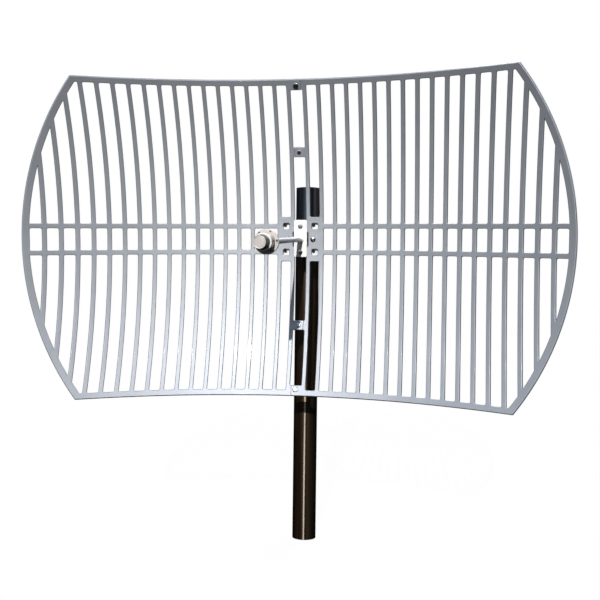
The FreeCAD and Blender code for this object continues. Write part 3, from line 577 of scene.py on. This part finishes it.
def build_feed_head():
    """Disc, housing with its flange, ridged neck and cap, each as one turned surface; housing and neck sides in a
    darker copy of the feed metal as painted shade, the flange in a lighter copy as painted light.
    """
    disc = [(BOOM_HOLE_R, DISC_BACK), (DISC_R, DISC_BACK), (DISC_R, DISC_FRONT), (14.0, DISC_FRONT)]
    housing = [(HOUSING_R, DISC_FRONT), (HOUSING_R, 349.2), (14.15, 349.7), (14.15, 350.6),
               (HOUSING_R, 351.1), (HOUSING_R, 371.4), (14.2, HOUSING_FRONT)]
    flange = [(14.2, HOUSING_FRONT), (HOUSING_R, 372.3), (HOUSING_R, FLANGE_FRONT), (11.0, FLANGE_FRONT)]
    cap = [(9.9, CAP_BACK), (CAP_R, 398.4), (CAP_R, CAP_FRONT), (9.0, CAP_FRONT), (8.7, 401.2),
           (8.1, 401.2), (7.8, 401.7), (0.0, 401.7)]
    turned("head_disc", disc, FEED_METAL, ["feed_disc"], 0.7)
    turned("head_housing", housing, FEED_PAINTED_SHADE, ["feed_housing"], 0.2)
    turned("head_flange", flange, FEED_PAINTED_LIGHT, ["feed_flange"], 0.35)
    turned("head_neck", neck_profile(), FEED_PAINTED_SHADE, ["feed_neck"], 0.2)
    turned("head_cap", cap, FEED_METAL, ["feed_cap"], 0.35)


# ------------------------------------------------------------------ centre plate and screws
CENTRE_SCREWS = {"feed_plate_screws": ((0, 25.4), (0, -25.4)), "pad_screws": ((-24.9, 0), (24.9, 0))}
HEAD_HEIGHT, CROSS_SLOT = 3.2, 0.9
SHANK_R, SHANK_END, SHANK_CHAMFER = 2.5, 15.4, 0.5


def box_mesh(size, place):
    bm = bmesh.new()
    bmesh.ops.create_cube(bm, size=1.0, matrix=Matrix.Translation(place) @ Matrix.Diagonal((*size, 1)))
    return mesh_from(bm, "box")


def crossed_dome(head, height, turn):
    """Domed screw head on the plane Y = 0 with a cross recess."""
    profile = [(head * 0.99, -2.0), (head * 0.99, 0.0), (head, height * 0.16),
               (head * 0.96, height * 0.42), (head * 0.82, height * 0.7), (head * 0.58, height * 0.9),
               (head * 0.3, height), (0.0, height * 1.02)]
    dome = lathe(profile, 40)
    bm = bmesh.new()
    bm.from_mesh(dome)
    bmesh.ops.holes_fill(bm, edges=bm.edges)
    bmesh.ops.recalc_face_normals(bm, faces=bm.faces)
    dome = mesh_from(bm, "dome")
    length, depth = head * 1.15, height * 1.1
    sizes = ((length, depth, CROSS_SLOT), (CROSS_SLOT, depth, length))
    arms = [box_mesh(size, (0, -height, 0)) for size in sizes]
    cross = boolean(arms[0], arms[1], "UNION")
    cross.transform(Matrix.Rotation(math.radians(turn), 4, "Y"))
    return boolean(dome, cross, "DIFFERENCE")


def tail_mesh(radius, length):
    """Plain shank behind the head with a chamfered tip."""
    tip = length - SHANK_CHAMFER
    return lathe([(radius, 0.0), (radius, tip), (radius - SHANK_CHAMFER, length), (0.0, length)], 28, "+Y")


def build_screws():
    for node, spots in CENTRE_SCREWS.items():
        head, seat = (4.75, -PLATE_GAUGE) if node == "feed_plate_screws" else (5.7, 0.0)
        meshes = []
        for k, (x, z) in enumerate(spots):
            dome = crossed_dome(head, HEAD_HEIGHT, 20 + 35 * k)
            for mesh in (dome, tail_mesh(SHANK_R, SHANK_END - seat)):
                mesh.transform(Matrix.Translation((x, seat, z)))
                meshes.append(mesh)
        whole = scaled(join_meshes(node, meshes))
        finish_piece("dome_" + node, whole, BOLT_STEEL, [node])


def flat_seat(x, depth, z):
    """Point on the flat plate in front of the pads, and its front normal."""
    return Vector((x, depth - PLATE_GAUGE, z)), Vector((0, -1, 0))


def build_plate():
    """Bright plate under the boom with clipped corners."""
    half, top, low, clip = 13.0, 38.0, -35.0, 2.2
    corners = [(half, low + clip), (half, top - clip), (half - clip, top), (clip - half, top),
               (-half, top - clip), (-half, low + clip), (clip - half, low), (half - clip, low)]
    outer = divided(rounded([Vector(c) for c in corners], 1.0), 6.0)
    mesh = plate_mesh("centre_plate", outer, [circle(BOOM_HOLE_R, 1.0)], PLATE_GAUGE, PLATE_EDGE,
                      flat_seat, Matrix.Identity(4))
    add_piece("centre_plate", mesh, STAINLESS, ["feed_plate"])


def build_painted_shade_backs():
    """Dark strips and discs put in as painted shade, in the slits beside the plate and behind the square holes.
    Guessed dark packing, in the slits beside the plate and behind the square holes.
    """
    meshes = [box_mesh((2.4, 2.0, 27.0), (side * 14.2, 4.6, 0)) for side in (-1, 1)]
    for side in (-1, 1):
        for level in (-1, 1):
            shade_disc = lathe([(0.0, -0.9), (3.3, -0.9), (3.3, 0.6)], 28, "+Y")
            shade_disc.transform(Matrix.Translation((side * PAD_HOLE_X - 3.0, 6.0, level * CROSS_Z + 1.6)))
            meshes.append(shade_disc)
    # Painted shade: black rubber finish on strips and discs where there is only shadow.
    finish_piece("painted_shade_packing", scaled(join_meshes("dark", meshes)), RUBBER)


# ------------------------------------------------------------------ CAD nodes that keep their mesh
SLOT_LOOK = {
    "mast_paint": MAST_PAINT, "grid_paint": GRID_PAINT, "stainless": STAINLESS, "boom_metal": BOOM_METAL,
    "zinc_plate": ZINC, "fastener_steel": BOLT_STEEL, "feed_metal": FEED_METAL, "seal_rubber": RUBBER,
    "white_insulator": INSULATOR, "contact_brass": BRASS, "nickel": NICKEL,
}


def dress_nodes():
    """Give every carried-over CAD node its finish and softly rounded edges."""
    for part in RECORD["subparts"]:
        item = NODES[part["node"]]
        item.data.materials.clear()
        item.data.materials.append(SLOT_LOOK[part["material_slot"]])
        soften = item.modifiers.new("soften", "BEVEL")
        soften.width = BEVEL_WIDTH
        soften.segments = 2
        soften.limit_method = "ANGLE"
        soften.angle_limit = math.radians(BEVEL_ANGLE)
        soften.harden_normals = False


# ------------------------------------------------------------------ stage, light and camera
SKY_TONES = [(0.0, (0.01, 0.01, 0.012)), (0.46, (0.03, 0.03, 0.034)), (0.56, (0.31, 0.335, 0.37)),
             (0.75, (0.62, 0.72, 0.86)), (1.0, (0.5, 0.64, 0.86))]
SKY_SIDE, SKY_GAIN = 0.3, 0.6
SUN_DISTANCE = 5.0
FLOOR_SIZE, FLOOR_MATT = 60.0, 0.03
LENS, SHIFT_X, SHIFT_Y = 55.2, 0.0242, 0.0008
CAMERA_PLACE = (0.288, -1.794, 0.021)
CAMERA_PAN, CAMERA_PITCH, CAMERA_ROLL = 10.05, -4.47, -0.06


def sky_world():
    """Dim sky for the light, brightest ahead of the dish; plain near-white where the camera sees it."""
    world = bpy.data.worlds.new("studio")
    bpy.context.scene.world = world
    world.use_nodes = True
    nodes, links = world.node_tree.nodes, world.node_tree.links
    nodes.clear()
    coords = nodes.new("ShaderNodeTexCoord")
    split = nodes.new("ShaderNodeSeparateXYZ")
    links.new(coords.outputs["Generated"], split.inputs["Vector"])
    spread = span(nodes, links, split.outputs["Z"], -1.0, 1.0)
    tones = ramp(nodes, links, spread.outputs["Result"], SKY_TONES)
    ahead = span(nodes, links, split.outputs["Y"], 0.3, -1.0)
    ahead.inputs["To Min"].default_value = SKY_SIDE
    ahead.inputs["To Max"].default_value = 1.0
    gain = nodes.new("ShaderNodeMath")
    gain.operation = "MULTIPLY"
    gain.inputs[1].default_value = SKY_GAIN
    links.new(ahead.outputs["Result"], gain.inputs[0])
    soft = nodes.new("ShaderNodeBackground")
    links.new(tones.outputs["Color"], soft.inputs["Color"])
    links.new(gain.outputs["Value"], soft.inputs["Strength"])
    plain = nodes.new("ShaderNodeBackground")
    plain.inputs["Color"].default_value = (1.0, 1.0, 1.0, 1.0)
    plain.inputs["Strength"].default_value = 1.0
    path = nodes.new("ShaderNodeLightPath")
    mix = nodes.new("ShaderNodeMixShader")
    links.new(path.outputs["Is Camera Ray"], mix.inputs["Fac"])
    links.new(soft.outputs["Background"], mix.inputs[1])
    links.new(plain.outputs["Background"], mix.inputs[2])
    out = nodes.new("ShaderNodeOutputWorld")
    links.new(mix.outputs["Shader"], out.inputs["Surface"])


def floor():
    """Near-white floor that lights itself and stays out of reflections and bounced light."""
    bpy.ops.mesh.primitive_plane_add(size=FLOOR_SIZE, location=(0, 0, 0))
    plane = bpy.context.object
    plane.name = "floor"
    mat = bpy.data.materials.new("studio_floor")
    mat.use_nodes = True
    nodes, links = mat.node_tree.nodes, mat.node_tree.links
    nodes.clear()
    glow = nodes.new("ShaderNodeEmission")
    glow.inputs["Color"].default_value = (1.0, 1.0, 1.0, 1.0)
    glow.inputs["Strength"].default_value = 1.0
    matt = nodes.new("ShaderNodeBsdfDiffuse")
    matt.inputs["Color"].default_value = (0.8, 0.8, 0.8, 1.0)
    mix = nodes.new("ShaderNodeMixShader")
    mix.inputs["Fac"].default_value = FLOOR_MATT
    out = nodes.new("ShaderNodeOutputMaterial")
    links.new(glow.outputs["Emission"], mix.inputs[1])
    links.new(matt.outputs["BSDF"], mix.inputs[2])
    links.new(mix.outputs["Shader"], out.inputs["Surface"])
    plane.data.materials.append(mat)
    plane.visible_diffuse = False
    plane.visible_glossy = False


def sun(name, azimuth, elevation, strength, colour, angle):
    """Distant light; azimuth is measured from straight in front of the dish towards +X."""
    data = bpy.data.lights.new(name, "SUN")
    data.energy = strength
    data.color = colour
    data.angle = math.radians(angle)
    item = bpy.data.objects.new(name, data)
    bpy.context.scene.collection.objects.link(item)
    across, up = math.radians(azimuth), math.radians(elevation)
    way = Vector((math.sin(across) * math.cos(up), -math.cos(across) * math.cos(up), math.sin(up)))
    item.location = way * SUN_DISTANCE
    item.rotation_euler = (-way).to_track_quat("-Z", "Y").to_euler()


def camera():
    """Camera of the photograph, placed from the dish's own frame."""
    data = bpy.data.cameras.new("photo_camera")
    data.sensor_width = 36.0
    data.lens = LENS
    data.shift_x = SHIFT_X
    data.shift_y = SHIFT_Y
    data.dof.use_dof = False
    item = bpy.data.objects.new("photo_camera", data)
    bpy.context.scene.collection.objects.link(item)
    turn = (Matrix.Rotation(math.radians(CAMERA_PAN), 4, "Z")
            @ Matrix.Rotation(math.radians(CAMERA_PITCH), 4, "X")
            @ Matrix.Rotation(math.radians(CAMERA_ROLL), 4, "Y"))
    look = Matrix.Rotation(math.radians(90), 4, "X")
    item.matrix_world = DISH @ Matrix.Translation(CAMERA_PLACE) @ turn @ look
    bpy.context.scene.camera = item


build_panels()
build_feed_head()
build_screws()
build_plate()
build_painted_shade_backs()
dress_nodes()
sky_world()
floor()
sun("fill", -60.0, 62.0, 0.85, (0.86, 0.93, 1.0), 40.0)
sun("back", 165.0, 38.0, 1.6, (0.95, 0.97, 1.0), 30.0)
sun("sun", 3.0, 23.1, 3.6, (1.0, 0.955, 0.905), 0.6)
camera()
bpy.context.scene.view_settings.view_transform = "Standard"
